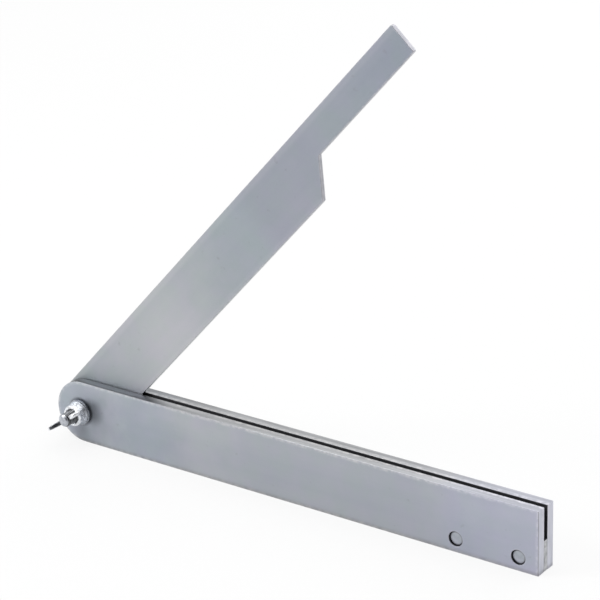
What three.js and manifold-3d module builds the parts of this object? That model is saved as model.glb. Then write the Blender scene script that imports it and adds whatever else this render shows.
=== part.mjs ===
// Steel bevel gauge: a stepped blade swings in the slot of a stock riveted up from two
// plates and a spacer, and a wing nut on a square-neck bolt clamps it.
// Millimetres. +X runs to the free end of the stock, +Z up, and the front faces -Y.
import * as THREE from 'three';
import { mergeVertices } from 'three/addons/utils/BufferGeometryUtils.js';
import Module from 'manifold-3d';

const wasm = await Module();
wasm.setup();

// Stock
const stockLength = 250;
const plateWidth = 29;
const plateThickness = 4.5;
const plateEdgeRound = 0.5;
const pivotInset = 13.3;
const spacerLength = 53.9;
const spacerHeight = 14;
const rivetDiameter = 6;
const rivetHeadDiameter = 6.7;
const rivetHeadDepth = 1;
const rivetClearance = 0.1;
const rivetHeight = 6;
const outerRivetInset = 9.3;
const innerRivetInset = 9.5;

// Blade
const bladeThickness = 2.2;
const bladeSideClearance = 0.2;
const bladeInset = 0.5;
const bladeOverhang = 25.2;
const bladeEdgeRound = 0.25;
const neckClearance = 0.7;
const stepClearance = 2.4;
const stepAngle = THREE.MathUtils.degToRad(46.9);
const stepCornerRadius = 1.2;
const neckCornerRadius = 0.8;
const tipCornerRadius = 0.9;
const bladeOpening = THREE.MathUtils.degToRad(47.3);

// Bolt and washer
const boltDiameter = 6;
const boltProtrusion = 6.1;
const boltEndChamfer = 0.9;
const boltClearance = 0.2;
const boltHeadDiameter = 15;
const boltHeadHeight = 3.5;
const boltHeadRim = 0.8;
const squareNeckWidth = 6.2;
const squareNeckRecess = 0.5;
const squareNeckClearance = 0.15;
const washerDiameter = 12;
const washerThickness = 1.6;
const washerEdgeRound = 0.25;

// Wing nut
const nutHeight = 12.6;
const nutBoreClearance = 0.1;
const nutBoreChamfer = 0.5;
const hubWall = 1.6;
const hubFlare = 1;
const hubHeight = 4.8;
const hubEdgeRound = 0.6;
const wingFootHeight = 0.7;
const wingBoltGap = 1.5;
const wingTipRadius = 3.5;
const wingHollow = 0.5;
const wingRootThickness = 2.4;
const wingRimThickness = 1.3;
const wingEdgeRound = 0.6;
const wingTurn = THREE.MathUtils.degToRad(34.5);

// How far a cutter runs past the face that it opens, and a joined piece into its neighbour
const overrun = 1;

// Facets: steps in a quarter outline, round a turned piece, across an edge or corner, a dome
// and a wing
const outlineSteps = 20;
const turnedSteps = 48;
const edgeSteps = 3;
const domeSteps = 8;
const wingSteps = 8;

// The stock's own frame has its origin on the pivot axis in the front face, with X along
// the stock, Y up and Z towards the viewer, so the stock lies at negative Z
const endRadius = plateWidth / 2;
const endCentre = endRadius - pivotInset;
const freeEnd = stockLength - pivotInset;
const slotGap = bladeThickness + 2 * bladeSideClearance;
const slotFront = -plateThickness;
const slotBack = slotFront - slotGap;
const backFace = slotBack - plateThickness;
const boltRadius = boltDiameter / 2;

// The folded blade leaves its step and its neck clear of the spacer
const bladeWidth = plateWidth - 2 * bladeInset;
const spacerTop = spacerHeight - endRadius;
const neckEdge = spacerTop + neckClearance;
const slope = 1 / Math.tan(stepAngle);
const spacerEndAt = (height) => freeEnd - spacerLength + (height + endRadius) * slope;
const stepAt = (height) => spacerEndAt(height) - stepClearance;

// Rivets
const rivetLevel = rivetHeight - endRadius;
const innerRivetX = spacerEndAt(rivetLevel) + innerRivetInset;
const outerRivetX = freeEnd - outerRivetInset;

// Closed geometry to solid, and back
function toSolid(geometry) {
  const bare = geometry.clone();
  bare.deleteAttribute('normal');
  bare.deleteAttribute('uv');
  const merged = mergeVertices(bare);
  const corners = merged.index.array;
  const triangles = [];
  for (let i = 0; i < corners.length; i += 3) {
    const [a, b, c] = corners.subarray(i, i + 3);
    if (a !== b && b !== c && c !== a) triangles.push(a, b, c);
  }
  const vertProperties = new Float32Array(merged.attributes.position.array);
  const triVerts = new Uint32Array(triangles);
  return new wasm.Manifold(new wasm.Mesh({ numProp: 3, vertProperties, triVerts }));
}

function toGeometry(solid) {
  const { vertProperties, triVerts } = solid.getMesh();
  const geometry = new THREE.BufferGeometry();
  geometry.setAttribute('position', new THREE.BufferAttribute(vertProperties, 3));
  geometry.setIndex(new THREE.BufferAttribute(triVerts, 1));
  geometry.computeVertexNormals();
  return geometry;
}

function join(...pieces) {
  const solids = pieces.map(toSolid);
  return toGeometry(solids.reduce((whole, piece) => whole.add(piece)));
}

function cut(body, ...cutters) {
  const solids = cutters.map(toSolid);
  return toGeometry(solids.reduce((rest, cutter) => rest.subtract(cutter), toSolid(body)));
}

// Piece turned about Z from [radius, level] points that go up on the outside
function turned(profile) {
  const points = profile.map(([radius, level]) => new THREE.Vector2(radius, level));
  return new THREE.LatheGeometry(points, turnedSteps).rotateX(Math.PI / 2);
}

const rod = (radius, low, high) => turned([[0, low], [radius, low], [radius, high], [0, high]]);

// Block centred on the Z axis between two levels
function block(width, height, low, high) {
  return new THREE.BoxGeometry(width, height, high - low).translate(0, 0, (low + high) / 2);
}

// [x, y] points along an arc
function arc(x, y, radius, from, to, steps) {
  return Array.from({ length: steps + 1 }, (_, i) => {
    const angle = from + ((to - from) * i) / steps;
    return [x + radius * Math.cos(angle), y + radius * Math.sin(angle)];
  });
}

// Flat piece between two levels, with rounded rims on both faces
function slab(outline, low, high, rim, curveSegments) {
  const geometry = new THREE.ExtrudeGeometry(outline, {
    depth: high - low - 2 * rim,
    curveSegments,
    bevelThickness: rim,
    bevelSize: rim,
    bevelOffset: -rim,
    bevelSegments: edgeSteps,
  });
  return geometry.translate(0, 0, low + rim);
}

// Goes on to a corner [x, y, radius] and rounds it on the way to the next one
function lineToCorner(outline, [x, y, radius], [nextX, nextY]) {
  const corner = new THREE.Vector2(x, y);
  const back = outline.currentPoint.clone().sub(corner).normalize();
  const ahead = new THREE.Vector2(nextX, nextY).sub(corner).normalize();
  const reach = radius / Math.tan(back.angleTo(ahead) / 2);
  const start = back.multiplyScalar(reach).add(corner);
  const end = ahead.multiplyScalar(reach).add(corner);
  const curve = new THREE.QuadraticBezierCurve(start, corner, end);
  for (const point of curve.getPoints(edgeSteps)) outline.lineTo(point.x, point.y);
}

// Rivet with flush flared heads, or with clearance and overrun the hole that it fills
function rivetShape(clearance, past) {
  const shank = rivetDiameter / 2 + clearance;
  const flare = (rivetHeadDiameter - rivetDiameter) / (2 * rivetHeadDepth);
  const head = shank + flare * (rivetHeadDepth + past);
  return turned([
    [0, backFace - past],
    [head, backFace - past],
    [shank, backFace + rivetHeadDepth],
    [shank, -rivetHeadDepth],
    [head, past],
    [0, past],
  ]);
}

const rivetPlaces = { rivet_inner: innerRivetX, rivet_outer: outerRivetX };
const rivetHoles = Object.values(rivetPlaces).map((x) =>
  rivetShape(rivetClearance, overrun).translate(x, rivetLevel, 0));

// Plate with its outer face at zero, rounded on that face and sharp at the slot
function plateBlank() {
  const outline = new THREE.Shape();
  outline.moveTo(freeEnd, -endRadius);
  outline.lineTo(freeEnd, endRadius);
  outline.absarc(endCentre, 0, endRadius, Math.PI / 2, 1.5 * Math.PI, false);
  outline.closePath();
  const low = slotFront - plateEdgeRound;
  const spare = block(2 * stockLength, 2 * plateWidth, low - overrun, slotFront);
  return cut(slab(outline, low, 0, plateEdgeRound, outlineSteps), spare);
}

function frontPlate() {
  const boltHole = rod(boltRadius + boltClearance, slotFront - overrun, overrun);
  return cut(plateBlank(), boltHole, ...rivetHoles);
}

function backPlate() {
  const blank = plateBlank().rotateX(Math.PI).translate(0, 0, backFace);
  const holeWidth = squareNeckWidth + 2 * squareNeckClearance;
  const neckHole = block(holeWidth, holeWidth, backFace - overrun, slotBack + overrun);
  return cut(blank, neckHole, ...rivetHoles);
}

// Strip that closes the foot of the slot; its inner end slants like the blade's step
function spacer() {
  const outline = new THREE.Shape();
  outline.moveTo(spacerEndAt(-endRadius), -endRadius);
  outline.lineTo(freeEnd, -endRadius);
  outline.lineTo(freeEnd, spacerTop);
  outline.lineTo(spacerEndAt(spacerTop), spacerTop);
  outline.closePath();
  const strip = new THREE.ExtrudeGeometry(outline, { depth: slotGap, bevelEnabled: false });
  return cut(strip.translate(0, 0, slotBack), ...rivetHoles);
}

// Blade along +X from the pivot: full width to the step, then a neck along its upper edge
function blade() {
  const halfWidth = bladeWidth / 2;
  const tip = freeEnd + bladeOverhang;
  const corners = [
    [stepAt(-halfWidth), -halfWidth, stepCornerRadius],
    [stepAt(neckEdge), neckEdge, neckCornerRadius],
    [tip, neckEdge, tipCornerRadius],
    [tip, halfWidth, tipCornerRadius],
    [endCentre, halfWidth],
  ];
  const outline = new THREE.Shape();
  outline.absarc(endCentre, 0, halfWidth, Math.PI / 2, 1.5 * Math.PI, false);
  for (let i = 0; i < corners.length - 1; i++) lineToCorner(outline, corners[i], corners[i + 1]);
  outline.closePath();
  const low = slotBack + bladeSideClearance;
  const high = slotFront - bladeSideClearance;
  const boltHole = rod(boltRadius + boltClearance, low - overrun, high + overrun);
  return cut(slab(outline, low, high, bladeEdgeRound, outlineSteps), boltHole);
}

// Domed head behind the stock, square neck in the back plate, and the shank to the front
function pivotBolt() {
  const headRadius = boltHeadDiameter / 2;
  const rise = boltHeadHeight - boltHeadRim;
  const domeRadius = (headRadius ** 2 + rise ** 2) / (2 * rise);
  const domeTop = backFace - boltHeadHeight;
  const domeAngle = Math.asin(headRadius / domeRadius);
  const down = -Math.PI / 2;
  const dome = arc(0, domeTop + domeRadius, domeRadius, down, down + domeAngle, domeSteps);
  const boltEnd = washerThickness + hubHeight + boltProtrusion;
  const head = turned([[0, domeTop], ...dome.slice(1), [headRadius, backFace], [0, backFace]]);
  const neck = block(squareNeckWidth, squareNeckWidth, backFace - overrun, slotBack - squareNeckRecess);
  const shank = turned([
    [0, backFace - overrun],
    [boltRadius, backFace - overrun],
    [boltRadius, boltEnd - boltEndChamfer],
    [boltRadius - boltEndChamfer, boltEnd],
    [0, boltEnd],
  ]);
  return join(head, neck, shank);
}

function washer() {
  const bore = boltRadius + boltClearance;
  const outer = washerDiameter / 2;
  const round = washerEdgeRound;
  return toGeometry(toSolid(turned([
    [bore, 0],
    ...arc(outer - round, round, round, -Math.PI / 2, 0, edgeSteps),
    ...arc(outer - round, washerThickness - round, round, 0, Math.PI / 2, edgeSteps),
    [bore, washerThickness],
    [bore, 0],
  ])));
}

// Sizes of the wing nut that follow from the bolt
const boreRadius = boltRadius + nutBoreClearance;
const hubTopRadius = boreRadius + hubWall;
const hubBaseRadius = hubTopRadius + hubFlare;
const wingCentre = boltRadius + wingBoltGap + wingTipRadius;
const wingReach = wingCentre + wingTipRadius;

// Point halfway between two others, moved to the left of the way by a depth
function bent(from, to, depth) {
  const way = to.clone().sub(from);
  const left = new THREE.Vector2(-way.y, way.x).setLength(depth);
  return from.clone().lerp(to, 1 / 2).add(left);
}

// Wing outline, drawn as distance from the axis against height above the washer: two
// hollowed flanks touch the round tip
function wingOutline() {
  const tip = new THREE.Vector2(wingCentre, nutHeight - wingTipRadius);
  const foot = new THREE.Vector2(hubBaseRadius - hubEdgeRound, wingFootHeight);
  const valley = new THREE.Vector2(hubTopRadius - hubEdgeRound, hubHeight);
  const touchAngle = (from, side) => {
    const way = tip.clone().sub(from);
    return way.angle() + side * (Math.PI / 2 + Math.asin(wingTipRadius / way.length()));
  };
  const start = touchAngle(foot, -1);
  const end = touchAngle(valley, 1);
  const onTip = (angle) =>
    new THREE.Vector2(Math.cos(angle), Math.sin(angle)).multiplyScalar(wingTipRadius).add(tip);
  const outerBend = bent(foot, onTip(start), wingHollow);
  const innerBend = bent(onTip(end), valley, wingHollow);
  const outline = new THREE.Shape();
  outline.moveTo(boreRadius, foot.y);
  outline.lineTo(foot.x, foot.y);
  outline.quadraticCurveTo(outerBend.x, outerBend.y, onTip(start).x, onTip(start).y);
  outline.absarc(tip.x, tip.y, wingTipRadius, start, end, false);
  outline.quadraticCurveTo(innerBend.x, innerBend.y, valley.x, valley.y);
  outline.lineTo(boreRadius, valley.y);
  outline.closePath();
  return outline;
}

// One wing along +X, forged thinner from its root to its rim
function wing() {
  const half = wingRootThickness / 2;
  const geometry = slab(wingOutline(), -half, half, wingEdgeRound, wingSteps).rotateX(Math.PI / 2);
  const place = geometry.attributes.position;
  for (let i = 0; i < place.count; i++) {
    const share = (place.getX(i) - boreRadius) / (wingReach - boreRadius);
    const thickness = THREE.MathUtils.lerp(wingRootThickness, wingRimThickness, share);
    place.setY(i, (place.getY(i) * thickness) / wingRootThickness);
  }
  return geometry;
}

// Wing nut: a conical hub with two wings, bored through
function wingNut() {
  const round = hubEdgeRound;
  const hub = turned([
    [0, 0],
    ...arc(hubBaseRadius - round, round, round, -Math.PI / 2, 0, edgeSteps),
    ...arc(hubTopRadius - round, hubHeight - round, round, 0, Math.PI / 2, edgeSteps),
    [0, hubHeight],
  ]);
  const bore = turned([
    [0, -overrun],
    [boreRadius + nutBoreChamfer + overrun, -overrun],
    [boreRadius, nutBoreChamfer],
    [boreRadius, hubHeight - nutBoreChamfer],
    [boreRadius + nutBoreChamfer + overrun, hubHeight + overrun],
    [0, hubHeight + overrun],
  ]);
  return cut(join(hub, wing(), wing().rotateZ(Math.PI)), bore);
}

const plateSteel = new THREE.MeshStandardMaterial({ color: 0xa9adb1, roughness: 0.42, metalness: 0.9 });
const bladeSteel = new THREE.MeshStandardMaterial({ color: 0x9da1a6, roughness: 0.4, metalness: 0.9 });
const rivetSteel = new THREE.MeshStandardMaterial({ color: 0xa4a7ab, roughness: 0.45, metalness: 0.9 });
const boltSteel = new THREE.MeshStandardMaterial({ color: 0xabaeb2, roughness: 0.4, metalness: 0.9 });
const zincPlate = new THREE.MeshStandardMaterial({ color: 0xd3d7dc, roughness: 0.22, metalness: 1 });

const gauge = new THREE.Group();
gauge.rotation.x = Math.PI / 2;
gauge.position.set(pivotInset - stockLength / 2, 0, endRadius);

function add(name, geometry, material) {
  const mesh = new THREE.Mesh(geometry, material.clone());
  mesh.name = name;
  gauge.add(mesh);
  return mesh;
}

add('front_plate', frontPlate(), plateSteel);
add('back_plate', backPlate(), plateSteel);
add('spacer', spacer(), plateSteel);
for (const [name, x] of Object.entries(rivetPlaces)) {
  add(name, rivetShape(0, 0), rivetSteel).position.set(x, rivetLevel, 0);
}
add('blade', blade(), bladeSteel).rotation.z = bladeOpening;
add('pivot_bolt', pivotBolt(), boltSteel);
add('washer', washer(), zincPlate);
const nut = add('wing_nut', wingNut(), zincPlate);
nut.position.z = washerThickness;
nut.rotation.z = wingTurn;

export default gauge;
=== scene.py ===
import math

import bmesh
import bpy
import numpy as np
from mathutils import Euler, Matrix, Vector

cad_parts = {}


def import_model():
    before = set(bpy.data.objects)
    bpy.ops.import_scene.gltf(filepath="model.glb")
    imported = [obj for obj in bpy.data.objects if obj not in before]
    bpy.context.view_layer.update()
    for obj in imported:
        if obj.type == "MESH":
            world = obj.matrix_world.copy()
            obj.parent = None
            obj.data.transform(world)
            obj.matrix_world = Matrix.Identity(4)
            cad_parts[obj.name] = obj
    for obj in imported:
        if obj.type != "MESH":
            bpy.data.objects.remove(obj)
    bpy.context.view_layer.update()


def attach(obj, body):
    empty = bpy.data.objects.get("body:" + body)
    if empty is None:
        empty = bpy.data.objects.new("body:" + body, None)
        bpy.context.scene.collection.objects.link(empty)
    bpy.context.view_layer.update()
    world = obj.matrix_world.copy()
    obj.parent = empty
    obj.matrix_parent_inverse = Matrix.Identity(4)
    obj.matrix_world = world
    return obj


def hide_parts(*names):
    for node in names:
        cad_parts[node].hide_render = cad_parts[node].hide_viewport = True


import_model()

MM = 0.001

# Stock
STOCK_LENGTH = 250
PLATE_WIDTH = 29
PLATE_THICKNESS = 4.5
SLOT_GAP = 2.6
PIVOT_INSET = 13.3
SPACER_LENGTH = 53.9
SPACER_HEIGHT = 14
RIVET_RADIUS = 3
RIVET_HEAD_RADIUS = 3.2
RIVET_HEAD_DEPTH = 1
RIVET_CLEARANCE = 0.1
RIVET_HEIGHT = 6
OUTER_RIVET_INSET = 9.3
INNER_RIVET_INSET = 9.5

# Blade
BLADE_FRONT = 4.7
BLADE_BACK = 6.9
BLADE_INSET = 0.5
BLADE_OVERHANG = 25.2
NECK_CLEARANCE = 0.7
STEP_CLEARANCE = 2.4
STEP_ANGLE = math.radians(46.9)
STEP_CORNER_RADIUS = 1.2
NECK_CORNER_RADIUS = 0.8
TIP_CORNER_RADIUS = 0.9
BLADE_OPENING = math.radians(47.3)

# Bolt, with its heights over the front face
BOLT_RADIUS = 3
BOLT_END = 12.5
BOLT_CHAMFER = 0.9
BOLT_HOLE_RADIUS = 3.2
BOLT_HOLE_CHAMFER = 0.2
BOLT_HEAD_RADIUS = 7.5
BOLT_HEAD_HEIGHT = 3.5
BOLT_HEAD_RIM = 0.8
BOLT_HEAD_FOOT_ROUND = 0.15
SQUARE_NECK = 3.1
SQUARE_NECK_CLEARANCE = 0.15
SQUARE_NECK_RECESS = 0.5
SQUARE_NECK_CHAMFER = 0.3
SQUARE_NECK_END_RADIUS = 3.15
SQUARE_CORNER_SHARE = 1.36
SHANK_END = -3.2
THREAD_START = -3
THREAD_RUNOUT = 1.5
THREAD_PITCH = 1
THREAD_DEPTH = 0.58
THREAD_ROOT_SHARE = 0.2
THREAD_FLANK_SHARE = 0.66
THREAD_STEP = 0.0625
BOLT_TIP_LAND = 0.05

# Washer and wing nut
WASHER_RADIUS = 6
WASHER_THICKNESS = 1.6
WASHER_BORE_CHAMFER = 0.1
NUT_BORE_RADIUS = 3.1
NUT_BORE_CHAMFER = 0.5
NUT_HEIGHT = 12.6
HUB_HEIGHT = 4.8
HUB_TOP_RADIUS = 4.7
HUB_BASE_RADIUS = 5.7
HUB_ROUND = 0.6
WING_CENTRE = 8
WING_TIP_RADIUS = 3.5
WING_FOOT = 0.7
WING_HOLLOW = 0.5
WING_ROOT_HALF = 1.2
WING_RIM_HALF = 0.65
WING_ROUND = 0.55
WING_FILLET = 1.1
WING_GAP = 0.7
WING_GAP_START = 0.2
WING_TURN = math.radians(34.5)

END_RADIUS = PLATE_WIDTH / 2
END_CENTRE = END_RADIUS - PIVOT_INSET
FREE_END = STOCK_LENGTH - PIVOT_INSET
BACK_FACE = 2 * PLATE_THICKNESS + SLOT_GAP
SLOT_FRONT = PLATE_THICKNESS
SLOT_BACK = PLATE_THICKNESS + SLOT_GAP
PIVOT = Vector((PIVOT_INSET - STOCK_LENGTH / 2, 0, END_RADIUS)) * MM

# Steps along a round end, a corner, a hole, a piece turned about the pivot, a rim and the wing
END_STEPS = 64
CORNER_STEPS = 6
HOLE_STEPS = 48
TURN_STEPS = 96
PLATE_RIM_STEPS = 6
BLADE_RIM_STEPS = 5
DOME_STEPS = 14
WING_TIP_STEPS = 28
WING_FLANK_STEPS = 9

# Angles in degrees: a bar's round end from its top to its bottom, a full turn, and the folds
# over which an edge stays sharp
END_ARC = (90, 270)
FULL_TURN = 360
SHARP_ANGLE = 35
THREAD_SHARP_ANGLE = 60

# Rims of the pieces. A row of a plate, the spacer or the blade is its inset, its depth under the
# face and its wear with painted light: 1 is rubbed bright with a painted highlight, and -1 is
# grime with painted shade.
PLATE_RIM_ROUND = 0.22
PLATE_RIM_INSET = 0.01
PLATE_FACE_ROWS = ((1.7, 0, 0), (0.55, 0, 1))
PLATE_EDGE_ROWS = (
    (0.015, 1.1, 0),
    (0, 1.9, 0),
    (0, 2.6, 0.2),
    (0.01, 3.3, 1),
    (0.04, 4.3, 1),
    (0.07, 4.42, 1),
    (0.2, 4.5, 1),
    (0.9, 4.5, 0),
)
SPACER_RIM_ROWS = ((0.7, 0, 0), (0.16, 0, 1), (0.05, 0.12, 1))
BLADE_FACE_ROW = (0.5, 0, 0)
BLADE_RIM_ROUND = 0.16
BLADE_RIM_RUB_AND_HIGHLIGHT = 0.6
BLADE_EDGE_RUB_AND_HIGHLIGHT = 0.3

# Rim of a rivet hole: how far it is wider than the rivet's head, its depth and its wear with
# painted light: rubbed with a painted highlight at the top, grime with painted shade in the groove
RIVET_HOLE_ROWS = (
    (0.75, 0, 0),
    (0.12, 0, 0.8),
    (0.02, 0.04, 0.5),
    (0, 0.12, -0.9),
    (-0.05, RIVET_HEAD_DEPTH, -1),
)

# Domed rivet head: depth under the plate's face, and radius
RIVET_HEAD_ROWS = (
    (0.5, 0.8),
    (0.52, 1.5),
    (0.56, 2.1),
    (0.64, 2.6),
    (0.76, 2.95),
    (0.9, RIVET_HEAD_RADIUS - 0.04),
    (RIVET_HEAD_DEPTH, RIVET_RADIUS),
)

# Rim of the bolt's head: height past the dome's edge, and inset
BOLT_HEAD_ROWS = ((-0.06, 0.2), (0.06, 0.05), (0.25, 0))
DOME_TOP_SHARE = 0.06

# End of the bolt: distance from the end face, and radius past the chamfer
BOLT_TIP_ROWS = ((BOLT_TIP_LAND, 0.03), (0, -0.08))

# Painted shade on the thread's crests, which its grooves carry on top of their own
THREAD_CREST_SHADE = 0.25

# Edges of the washer: distance from the nearer face, and from the rim or the bore
WASHER_ROLLED_ROWS = ((0, 0.75), (0.06, 0.45), (0.2, 0.2), (0.42, 0.05), (0.7, 0))
WASHER_SHARP_ROWS = ((0.22, 0), (0.08, 0.06), (0, 0.2))
WASHER_BORE_ROWS = ((0, 0.3), (0.06, 0.1), (0.2, 0))

# Cells of the wing nut's field, the room round the nut, and how its facets are relaxed
FIELD_STEP = 0.17
FIELD_MARGIN = 0.4
FIELD_SIDE_MARGIN = 0.5
RELAX_SHARE = 0.4
RELAX_ROUNDS = 2


# Outlines
def arc(centre, radius, start, end, steps):
    """Points along an arc, both ends included; angles in degrees."""
    angles = np.radians(np.linspace(start, end, steps + 1))
    return np.stack(
        [centre[0] + radius * np.cos(angles), centre[1] + radius * np.sin(angles)], 1
    )


def curve(start, middle, end, count):
    """Points of a curve from start to end, drawn towards the middle point."""
    t = np.linspace(0, 1, count)[:, None]
    return (1 - t) ** 2 * start + 2 * t * (1 - t) * middle + t**2 * end


def rounded(before, corner, after, radius):
    """Points of a corner rounded by a curve that touches both of its sides."""
    corner = np.array(corner, float)
    back = np.array(before, float) - corner
    ahead = np.array(after, float) - corner
    back /= np.linalg.norm(back)
    ahead /= np.linalg.norm(ahead)
    half = math.acos(np.clip(back @ ahead, -1, 1)) / 2
    start = corner + back * radius / math.tan(half)
    end = corner + ahead * radius / math.tan(half)
    return curve(start, corner, end, CORNER_STEPS + 1)


def offset(points, inset):
    """A counterclockwise outline moved inwards by a distance."""
    ahead = np.roll(points, -1, 0) - points
    ahead /= np.linalg.norm(ahead, axis=1, keepdims=True)
    behind = np.roll(ahead, 1, 0)
    first = np.stack([-behind[:, 1], behind[:, 0]], 1)
    second = np.stack([-ahead[:, 1], ahead[:, 0]], 1)
    mitre = (first + second) / (1 + (first * second).sum(1, keepdims=True))
    return points + inset * mitre


def plate_outline():
    corners = [[FREE_END, -END_RADIUS], [FREE_END, END_RADIUS]]
    return np.concatenate([arc((END_CENTRE, 0), END_RADIUS, *END_ARC, END_STEPS), corners])


SLOPE = 1 / math.tan(STEP_ANGLE)
SPACER_TOP = SPACER_HEIGHT - END_RADIUS


def spacer_end(height):
    """Place of the spacer's slanted inner end at a height."""
    return FREE_END - SPACER_LENGTH + (height + END_RADIUS) * SLOPE


def spacer_outline():
    return np.array(
        [
            [spacer_end(-END_RADIUS), -END_RADIUS],
            [FREE_END, -END_RADIUS],
            [FREE_END, SPACER_TOP],
            [spacer_end(SPACER_TOP), SPACER_TOP],
        ]
    )


def blade_outline():
    """Blade with its round end at the pivot; the step and the neck clear the spacer."""
    half = END_RADIUS - BLADE_INSET
    neck = SPACER_TOP + NECK_CLEARANCE
    tip = FREE_END + BLADE_OVERHANG
    path = [
        (END_CENTRE, -half),
        (spacer_end(-half) - STEP_CLEARANCE, -half),
        (spacer_end(neck) - STEP_CLEARANCE, neck),
        (tip, neck),
        (tip, half),
        (END_CENTRE, half),
    ]
    radii = [STEP_CORNER_RADIUS, NECK_CORNER_RADIUS, TIP_CORNER_RADIUS, TIP_CORNER_RADIUS]
    points = [arc((END_CENTRE, 0), half, *END_ARC, END_STEPS)]
    for i, radius in enumerate(radii):
        points.append(rounded(path[i], path[i + 1], path[i + 2], radius))
    return np.concatenate(points)


# Meshes
def linked(name, data):
    made = bpy.data.objects.new(name, data)
    bpy.context.scene.collection.objects.link(made)
    return made


def mesh_from(bm, name):
    mesh = bpy.data.meshes.new(name)
    bm.to_mesh(mesh)
    bm.free()
    return mesh


def skin(bm, lower, upper):
    """Quads between two rings of vertices."""
    for i in range(len(lower)):
        j = (i + 1) % len(lower)
        bm.faces.new((lower[i], lower[j], upper[j], upper[i]))


def finish_mesh(bm, name, sharp=SHARP_ANGLE):
    """Mesh object from a bmesh, smooth except at sharp edges."""
    bmesh.ops.recalc_face_normals(bm, faces=bm.faces)
    mesh = mesh_from(bm, name)
    mesh.shade_smooth()
    mesh.set_sharp_from_angle(angle=math.radians(sharp))
    made = linked(name, mesh)
    even = made.modifiers.new("even_normals", "WEIGHTED_NORMAL")
    even.keep_sharp = True
    return made


def flat_bar(name, outline, profile, holes):
    """Bar from rings of its outline; a profile row is inset, depth, and wear with painted light.

    A hole is a list of rings, each of them points, depth, and wear with painted light, front to
    back.
    """
    bm = bmesh.new()
    wear_and_painted_light = bm.verts.layers.float.new("wear_and_painted_light")

    def ring(points, depth, value):
        made = [bm.verts.new(Vector((x, depth, z)) * MM) for x, z in points]
        for vert in made:
            vert[wear_and_painted_light] = value
        return made

    outer = [ring(offset(outline, inset), depth, value) for inset, depth, value in profile]
    rims = [[outer[0]], [outer[-1]]]
    for hole in holes:
        inner = [ring(*row) for row in hole]
        rims[0].append(inner[0])
        rims[1].append(inner[-1])
        for lower, upper in zip(inner, inner[1:]):
            skin(bm, lower, upper)
    for lower, upper in zip(outer, outer[1:]):
        skin(bm, lower, upper)
    for rim in rims:
        edges = []
        for loop in rim:
            for i, vert in enumerate(loop):
                edges.append(bm.edges.get((vert, loop[(i + 1) % len(loop)])))
        bmesh.ops.triangle_fill(bm, use_beauty=True, use_dissolve=False, edges=edges)
    return finish_mesh(bm, name)


TURN_ANGLES = np.linspace(0, 2 * math.pi, TURN_STEPS, endpoint=False)


def turned(name, rings, loop=False, sharp=SHARP_ANGLE):
    """Piece round the pivot axis from rings of radii, each at a height over the front.

    A ring is a height and one radius, or a height and a radius for each step round.
    """
    bm = bmesh.new()
    wear_and_painted_light = bm.verts.layers.float.new("wear_and_painted_light")
    made = []
    for height, radius in rings:
        row = []
        for angle, r in zip(TURN_ANGLES, np.broadcast_to(radius, TURN_STEPS)):
            place = Vector((r * math.cos(angle), -height, r * math.sin(angle))) * MM
            row.append(bm.verts.new(place))
        made.append(row)
    for lower, upper in zip(made, made[1:]):
        skin(bm, lower, upper)
    if loop:
        skin(bm, made[-1], made[0])
    else:
        for row, height in ((made[0], rings[0][0]), (made[-1], rings[-1][0])):
            middle = bm.verts.new(Vector((0, -height, 0)) * MM)
            for i in range(TURN_STEPS):
                bm.faces.new((row[i], row[(i + 1) % TURN_STEPS], middle))
    for vert in bm.verts:
        vert[wear_and_painted_light] = 0
    return finish_mesh(bm, name, sharp)


def places(mesh):
    """Places of a mesh's vertices in millimetres."""
    return np.array([vert.co for vert in mesh.vertices]) / MM


def set_wear_and_painted_light(mesh, values):
    mesh.attributes["wear_and_painted_light"].data.foreach_set("value", values)


def plate_profile(outer, inner):
    """Rings of a plate from its outer face to its slot face, with a slightly crowned rim."""
    sign = 1 if inner > outer else -1
    rows = list(PLATE_FACE_ROWS)
    for turn in np.linspace(0, 1, PLATE_RIM_STEPS):
        angle = turn * math.pi / 2
        inset = PLATE_RIM_INSET + PLATE_RIM_ROUND * (1 - math.sin(angle))
        rows.append((inset, PLATE_RIM_ROUND * (1 - math.cos(angle)), 1 - turn))
    rows += PLATE_EDGE_ROWS
    return [(inset, outer + sign * depth, value) for inset, depth, value in rows]


def hole_rings(x, z, rows):
    """Rings of a round hole; a row is radius, depth, and wear with painted light."""
    rings = []
    for radius, depth, value in rows:
        rings.append((arc((x, z), radius, 0, FULL_TURN, HOLE_STEPS)[:-1], depth, value))
    return rings


def square_rings(half, rows):
    corner = np.array([[half, -half], [half, half], [-half, half], [-half, -half]])
    return [(corner, depth, value) for depth, value in rows]


RIVET_LEVEL = RIVET_HEIGHT - END_RADIUS
RIVETS = {
    "rivet_inner": spacer_end(RIVET_LEVEL) + INNER_RIVET_INSET,
    "rivet_outer": FREE_END - OUTER_RIVET_INSET,
}
HEAD_HOLE = RIVET_HEAD_RADIUS + RIVET_CLEARANCE
SHANK_HOLE = RIVET_RADIUS + RIVET_CLEARANCE


def rivet_hole_rows(outer, inner):
    """Rows of a rivet hole through a plate, from its outer face to its slot face."""
    sign = 1 if inner > outer else -1
    rows = []
    for wider, depth, value in RIVET_HOLE_ROWS:
        rows.append((HEAD_HOLE + wider, outer + sign * depth, value))
    rows.append((SHANK_HOLE, outer + sign * RIVET_HEAD_DEPTH, -1))
    rows.append((SHANK_HOLE, inner, 0))
    return rows


def plate(name, outer, inner, bolt_hole):
    holes = [bolt_hole]
    for x in RIVETS.values():
        holes.append(hole_rings(x, RIVET_LEVEL, rivet_hole_rows(outer, inner)))
    return flat_bar(name, plate_outline(), plate_profile(outer, inner), holes)


def front_plate():
    rows = [
        (BOLT_HOLE_RADIUS + BOLT_HOLE_CHAMFER, 0, 0),
        (BOLT_HOLE_RADIUS, BOLT_HOLE_CHAMFER, 0),
        (BOLT_HOLE_RADIUS, SLOT_FRONT, 0),
    ]
    return plate("front_plate_ground", 0, SLOT_FRONT, hole_rings(0, 0, rows))


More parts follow.
